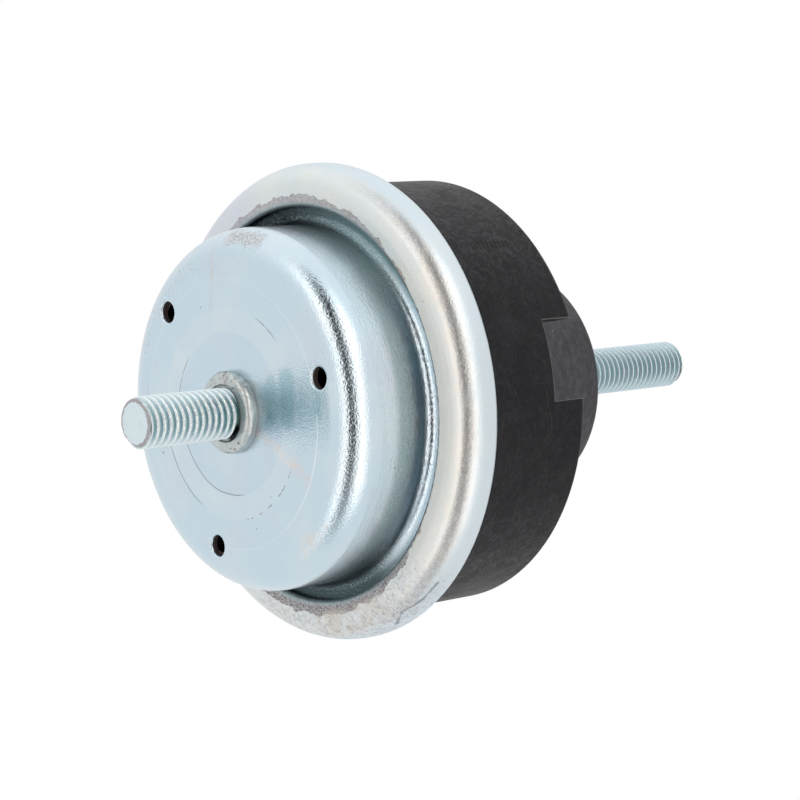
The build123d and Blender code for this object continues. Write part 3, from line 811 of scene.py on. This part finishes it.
def cast_finish(name, machined_z):
    """Die-cast aluminium: silvery skin with flow marks, turned rings on a machined face."""
    material, tree, shader, part = start_finish(name, 1.0)
    place, height = part["Place"], part["Height"]
    flow = effect(tree, PATCHES, place, 6.0, 0.4, 0.7)
    color = tint(tree, CAST_PALE, CAST_DULL, flow)
    turned = ramp(tree, height, machined_z / MM - 0.06, machined_z / MM - 0.02)
    color = tint(tree, color, CAST_TURNED, turned, 0.6)
    about_z = {"wave_type": "RINGS", "rings_direction": "Z"}
    tooling = {"Vector": place, "Scale": 0.9, "Distortion": 0.3, "Detail": 2.0}
    rings = put(tree, "ShaderNodeTexWave", about_z, tooling).outputs["Fac"]
    grain = effect(tree, GRAIN, place, 0.35, 0.03, 3.0, 0.04)
    relief = total(tree, grain, both(tree, turned, rings, 0.012))
    rough = total(tree, 0.40, both(tree, flow, 0.10), both(tree, turned, -0.14))
    end_finish(tree, shader, color, rough, relief)
    return material


def phosphate_finish():
    """Grey phosphated steel of the bonded rings."""
    material, tree, shader, part = start_finish("insert_steel", 1.0)
    place = part["Place"]
    cloud = effect(tree, PATCHES, place, 3.0, 0.4, 0.65)
    color = tint(tree, PHOSPHATE_PALE, PHOSPHATE_DARK, cloud)
    grain = effect(tree, GRAIN, place, 0.18, 0.02, 3.0, 0.03)
    end_finish(tree, shader, color, total(tree, 0.45, both(tree, cloud, 0.15)), grain)
    return material


def floor_finish():
    """Pale floor that is seen from above only and keeps the part's shadow."""
    material, tree, shader = new_material("floor_paint")
    cloud = fractal(tree, object_place(tree), 3.0, 3.0)
    tree.links.new(tint(tree, FLOOR_PALE, FLOOR_WHITE, cloud), shader.inputs["Base Color"])
    shader.inputs["Roughness"].default_value = 0.8
    below = put(tree, "ShaderNodeNewGeometry").outputs["Backfacing"]
    clear = put(tree, "ShaderNodeBsdfTransparent").outputs[0]
    seen = put(tree, "ShaderNodeMixShader", None, {0: below, 1: shader.outputs[0], 2: clear}).outputs[0]
    tree.links.new(seen, tree.nodes["Material Output"].inputs["Surface"])
    return material


# Pieces


def thread_tree():
    """Geometry of a threaded rod along Z: a grid sheared by the pitch, so that its rows follow the helix."""
    tree = bpy.data.node_groups.new("rolled_thread", "GeometryNodeTree")
    face = tree.interface
    sizes = {
        "Crest radius": STUD_R,
        "Root radius": THREAD_ROOT_R,
        "Pitch": PITCH,
        "Start": 0.0,
        "End": 0.02,
        "Start chamfer": TIP_CHAMFER,
        "End chamfer": TIP_CHAMFER,
    }
    for name, value in sizes.items():
        face.new_socket(name, in_out="INPUT", socket_type=VALUE).default_value = value
    face.new_socket("Material", in_out="INPUT", socket_type="NodeSocketMaterial")
    face.new_socket("Mesh", in_out="OUTPUT", socket_type="NodeSocketGeometry")
    given = tree.nodes.new("NodeGroupInput").outputs
    crest, root, pitch = given["Crest radius"], given["Root radius"], given["Pitch"]

    # Spare turns at each end close the rod with a flat disc
    length = calc(tree, "SUBTRACT", given["End"], given["Start"])
    turns = calc(tree, "CEIL", total(tree, calc(tree, "DIVIDE", length, pitch), 2 * SPARE_TURNS))
    rows = total(tree, calc(tree, "MULTIPLY", turns, float(ROWS_PER_PITCH)), 1.0)
    sheet = {"Size X": 1.0, "Size Y": 1.0, "Vertices X": FACETS_AROUND + 1, "Vertices Y": rows}
    grid = put(tree, "GeometryNodeMeshGrid", None, sheet).outputs["Mesh"]
    place = put(tree, "GeometryNodeInputPosition").outputs[0]
    across = put(tree, "ShaderNodeSeparateXYZ", None, {0: place}).outputs
    around = total(tree, across["X"], 0.5)
    phase = calc(tree, "MULTIPLY", total(tree, across["Y"], 0.5), turns)
    climb = calc(tree, "SUBTRACT", total(tree, phase, around), SPARE_TURNS)
    free_z = total(tree, given["Start"], calc(tree, "MULTIPLY", climb, pitch))
    z = calc(tree, "MINIMUM", calc(tree, "MAXIMUM", free_z, given["Start"]), given["End"])

    # Rounded root and flanks up to a narrow crest
    wave = calc(tree, "MULTIPLY", calc(tree, "PINGPONG", phase, 0.5), 2.0)
    profile = ramp(tree, wave, *THREAD_FLANK)
    radius = ramp(tree, profile, 0.0, 1.0, root, crest, soft=False)
    for end, chamfer, side in (("Start", "Start chamfer", 1.0), ("End", "End chamfer", -1.0)):
        inward = calc(tree, "MULTIPLY", calc(tree, "SUBTRACT", z, given[end]), side)
        limit = total(tree, calc(tree, "SUBTRACT", crest, given[chamfer]), inward)
        radius = calc(tree, "MINIMUM", radius, limit)
        beyond = calc(tree, "MULTIPLY", calc(tree, "SUBTRACT", given[end], free_z), side)
        kept = ramp(tree, calc(tree, "DIVIDE", beyond, pitch), 0.0, 1.0, 1.0, 0.0, soft=False)
        radius = calc(tree, "MULTIPLY", radius, kept)

    angle = calc(tree, "MULTIPLY", around, math.tau)
    x = calc(tree, "MULTIPLY", radius, calc(tree, "COSINE", angle))
    y = calc(tree, "MULTIPLY", radius, calc(tree, "SINE", angle))
    point = put(tree, "ShaderNodeCombineXYZ", None, {"X": x, "Y": y, "Z": z}).outputs[0]
    bent = put(tree, "GeometryNodeSetPosition", None, {"Geometry": grid, "Position": point}).outputs[0]
    merge = {"Geometry": bent, "Distance": MERGE_DISTANCE}
    closed = put(tree, "GeometryNodeMergeByDistance", None, merge).outputs[0]
    smooth = put(tree, "GeometryNodeSetShadeSmooth", None, {"Geometry": closed}).outputs[0]
    whole = put(tree, "GeometryNodeRealizeInstances", None, {0: smooth}).outputs[0]
    painted = put(tree, "GeometryNodeSetMaterial", None, {"Geometry": whole, "Material": given["Material"]})
    out = tree.nodes.new("NodeGroupOutput")
    tree.links.new(painted.outputs[0], out.inputs[0])
    return tree


def socket_id(tree, name):
    """The identifier of a tree's named input."""
    return next(s.identifier for s in tree.interface.items_tree if s.name == name and s.in_out == "INPUT")


def made_by(name, tree, material, **sizes):
    """A plain mesh made by a geometry tree with the given sizes."""
    carrier = bpy.data.objects.new(name + "_maker", bpy.data.meshes.new(name + "_maker"))
    bpy.context.collection.objects.link(carrier)
    maker = carrier.modifiers.new("maker", "NODES")
    maker.node_group = tree
    maker[socket_id(tree, "Material")] = material
    for key, value in sizes.items():
        maker[socket_id(tree, key.replace("_", " ").capitalize())] = value
    bpy.context.view_layer.update()
    shown = carrier.evaluated_get(bpy.context.evaluated_depsgraph_get())
    mesh = bpy.data.meshes.new_from_object(shown)
    mesh.name = name
    bpy.data.objects.remove(carrier)
    return stand_piece(name, mesh)


def stand_piece(name, mesh):
    """A new object at the origin for a finished mesh."""
    piece = bpy.data.objects.new(name, mesh)
    bpy.context.collection.objects.link(piece)
    return piece


def arc_points(centre, radius, start, end, steps):
    """Points along an arc in the plane of radius and height."""
    turns = [math.radians(start + (end - start) * i / steps) for i in range(steps + 1)]
    return [(centre[0] + radius * math.cos(a), centre[1] + radius * math.sin(a)) for a in turns]


def line_points(start, end, steps):
    """Points along a straight line, without its start."""
    shares = [(i + 1) / steps for i in range(steps)]
    return [tuple(a + (b - a) * s for a, b in zip(start, end)) for s in shares]


def collar_points():
    """Half section of the collar and the head, from the axis below to the axis above."""
    inner = (COLLAR_GROOVE_R + COLLAR_INNER_FILLET, -COLLAR_HEIGHT + COLLAR_INNER_FILLET)
    outer = (COLLAR_R - COLLAR_OUTER_FILLET, -COLLAR_HEIGHT + COLLAR_OUTER_FILLET)
    points = [(0.0, COLLAR_GROOVE_Z)]
    points += line_points(points[-1], (THREAD_ROOT_R, COLLAR_GROOVE_Z), 2)
    points += line_points(points[-1], (COLLAR_GROOVE_R, COLLAR_GROOVE_Z), 4)
    points += line_points(points[-1], (COLLAR_GROOVE_R, inner[1]), 4)
    points += arc_points(inner, COLLAR_INNER_FILLET, 180, 270, 5)[1:]
    points += arc_points(outer, COLLAR_OUTER_FILLET, -90, 0, 10)
    points += line_points(points[-1], (COLLAR_R, 0.0), 4)
    points += line_points(points[-1], (COLLAR_R, CUP_SHEET), 2)
    points += line_points(points[-1], (HEAD_R, CUP_SHEET), 3)
    points += line_points(points[-1], (HEAD_R, HEAD_TOP_Z - HEAD_CHAMFER), 2)
    points += line_points(points[-1], (HEAD_R - HEAD_CHAMFER, HEAD_TOP_Z), 2)
    points += line_points(points[-1], (0.0, HEAD_TOP_Z), 4)
    return points


def swaged_collar(material):
    """The collar, uneven from the swaging tool and with a burr on one side, and the riveted head."""
    shape = bmesh.new()
    rows = []
    for radius, z in collar_points():
        ring = []
        for i in range(COLLAR_FACETS):
            turn = math.tau * i / COLLAR_FACETS
            out = Vector((math.cos(turn), math.sin(turn), 0.0))
            free = min(max((-z - COLLAR_PLAIN) / MM, 0.0), 1.0) * (radius > COLLAR_GROOVE_R - MM / 10)
            rough = noise.noise(Vector((out.x * 3.0, out.y * 3.0, z / MM * 0.5))) * COLLAR_DENT
            fine = noise.noise(Vector((out.x * 14.0, out.y * 14.0, z / MM * 2.0))) * COLLAR_RIPPLE
            off = (turn - CLOCKING - BURR_ANGLE + math.pi) % math.tau - math.pi
            lumps = 0.35 + abs(noise.noise(out * 11.0 + Vector((0, 0, z / MM))))
            burr = math.exp(-((off / BURR_SPAN) ** 2)) * lumps
            lift = free * (rough + fine) * MM
            flare = free * burr * BURR_HEIGHT * (radius > COLLAR_R - MM)
            place = out * (radius + lift + flare) + Vector((0, 0, z - BURR_DROOP * flare))
            ring.append(shape.verts.new(place))
            if radius == 0.0:
                break
        rows.append(ring)
    for low, high in zip(rows, rows[1:]):
        for i in range(COLLAR_FACETS):
            j = (i + 1) % COLLAR_FACETS
            corners = [low[i % len(low)], low[j % len(low)], high[j % len(high)], high[i % len(high)]]
            corners = [c for k, c in enumerate(corners) if c not in corners[:k]]
            shape.faces.new(corners)
    bmesh.ops.recalc_face_normals(shape, faces=shape.faces)
    for side in shape.faces:
        side.smooth = True
    mesh = bpy.data.meshes.new("base_stud_collar")
    shape.to_mesh(mesh)
    shape.free()
    mesh.materials.append(material)
    return stand_piece("base_stud_collar", mesh)


def dress_part():
    """Gives every CAD node its finish and puts the detailed studs in place of the plain ones."""
    finishes = {
        "base_cup": cup_finish(),
        "crimp_ring": ring_finish(),
        "spring_insert": phosphate_finish(),
        "core": cast_finish("core_aluminium", CORE_SEAT_Z),
        "main_spring": spring_finish(),
        "diaphragm": inner_rubber_finish("diaphragm_rubber", DIAPHRAGM_BLACK),
        "decoupler": inner_rubber_finish("decoupler_rubber", DECOUPLER_BLACK),
        "lower_channel_plate": cast_finish("plate_aluminium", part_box("upper_channel_plate")[1].z),
        "base_stud": stud_finish("base_stud_zinc", BASE_ZINC, BASE_TIP_Z, -1.0, 0.9, 0.24),
        "top_stud": stud_finish("top_stud_zinc", TOP_ZINC, TOP_TIP_Z, 1.0, 0.1, 0.42),
    }
    finishes["diaphragm_ring"] = finishes["spring_insert"]
    finishes["upper_channel_plate"] = finishes["lower_channel_plate"]
    for name, node in frame["nodes"].items():
        node.data.materials.clear()
        node.data.materials.append(finishes[name])

    threads = thread_tree()
    base = made_by(
        "base_stud_thread",
        threads,
        finishes["base_stud"],
        start=BASE_TIP_Z + TIP_INSET,
        end=CUP_SHEET,
        end_chamfer=0.0,
    )
    top = made_by(
        "top_stud_thread", threads, finishes["top_stud"], start=TOP_FOOT_Z, end=TOP_TIP_Z - TIP_INSET
    )
    collar = swaged_collar(collar_finish())
    for piece, node, slot in (
        (base, "base_stud", "base_stud_zinc"),
        (collar, "base_stud", "base_stud_zinc"),
        (top, "top_stud", "top_stud_steel"),
    ):
        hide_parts(node)
        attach(piece, "root")


# Studio


def stand_camera():
    """The camera of the photo's view. Returns its directions to the right, down and ahead."""
    axis = Vector(
        (
            math.sin(AXIS_TURN) * math.cos(AXIS_RISE),
            -math.sin(AXIS_TURN) * math.sin(AXIS_RISE),
            math.cos(AXIS_TURN),
        )
    )
    above = Vector((0.0, -1.0, 0.0))
    third = (above - axis * above.dot(axis)).normalized()
    to_picture = Matrix((third.cross(axis), third, axis)).transposed()
    to_part = Matrix.Rotation(CLOCKING, 3, "Z") @ to_picture.transposed()
    right, down, ahead = (to_part @ Vector(v) for v in ((1, 0, 0), (0, 1, 0), (0, 0, 1)))
    data = bpy.data.cameras.new("camera")
    data.lens = LENS_MM
    data.sensor_width = SENSOR_MM
    data.clip_start = 0.01
    camera = bpy.data.objects.new("camera", data)
    bpy.context.collection.objects.link(camera)
    turn = Matrix((right, -down, -ahead)).transposed().to_4x4()
    camera.matrix_world = Matrix.Translation(to_part @ -ORIGIN_PLACE) @ turn
    bpy.context.scene.camera = camera
    return right, down, ahead


def light_room(right, down, ahead):
    """White behind the part. Its reflections see pale walls and two soft boxes with a dark gap between."""
    world = bpy.data.worlds.new("studio")
    bpy.context.scene.world = world
    world.use_nodes = True
    tree = world.node_tree
    tree.nodes.clear()
    way = put(tree, "ShaderNodeTexCoord").outputs["Generated"]

    def along(direction):
        return vector(tree, "DOT_PRODUCT", way, direction)["Value"]

    aside = along(right)
    behind = ramp(tree, along(ahead), *BEHIND, 1.0, 0.0)
    left_box = both(tree, window(tree, aside, *LEFT_BOX), behind)
    right_box = both(tree, window(tree, aside, *RIGHT_BOX), behind)
    boxes = calc(tree, "MAXIMUM", left_box, right_box)
    level = ramp(tree, boxes, 0.0, 1.0, WALL_LEVEL, BOX_LEVEL, soft=False)
    level = calc(tree, "MULTIPLY", level, ramp(tree, along(down), -0.80, -0.25, SKY_GAIN, 1.0))
    gap = calc(tree, "ABSOLUTE", calc(tree, "SUBTRACT", aside, GAP_ASIDE))
    gap = ramp(tree, gap, *GAP_EDGE, 1.0, 0.0)
    dark = ramp(tree, along(down), 0.50, 0.72, GAP_LEVEL, LOW_GAP_LEVEL)
    level = ramp(tree, both(tree, gap, behind), 0.0, 1.0, level, dark, soft=False)
    color = tint(tree, WALL_WHITE, BOX_WARM, right_box)
    color = tint(tree, color, BOX_CREAM, left_box)
    room = put(tree, "ShaderNodeBackground", None, {"Color": color, "Strength": level}).outputs[0]
    white = put(tree, "ShaderNodeBackground", None, {"Color": (1, 1, 1, 1), "Strength": 1.0}).outputs[0]
    ray = put(tree, "ShaderNodeLightPath").outputs["Is Camera Ray"]
    seen = put(tree, "ShaderNodeMixShader", None, {0: ray, 1: room, 2: white}).outputs[0]
    put(tree, "ShaderNodeOutputWorld", None, {"Surface": seen})


def lay_floor():
    """A pale floor under the stud's tip. Only the camera sees it, so that the room lights the underside."""
    half = FLOOR_SIZE / 2
    z = BASE_TIP_Z - FLOOR_DROP
    mesh = bpy.data.meshes.new("floor")
    corners = [(-half, -half, z), (half, -half, z), (half, half, z), (-half, half, z)]
    mesh.from_pydata(corners, [], [(0, 1, 2, 3)])
    mesh.materials.append(floor_finish())
    floor = stand_piece("floor", mesh)
    floor.visible_diffuse = False
    floor.visible_glossy = False
    floor.visible_transmission = False
    floor.visible_shadow = False


dress_part()
light_room(*stand_camera())
lay_floor()
bpy.context.scene.view_settings.view_transform = "Standard"
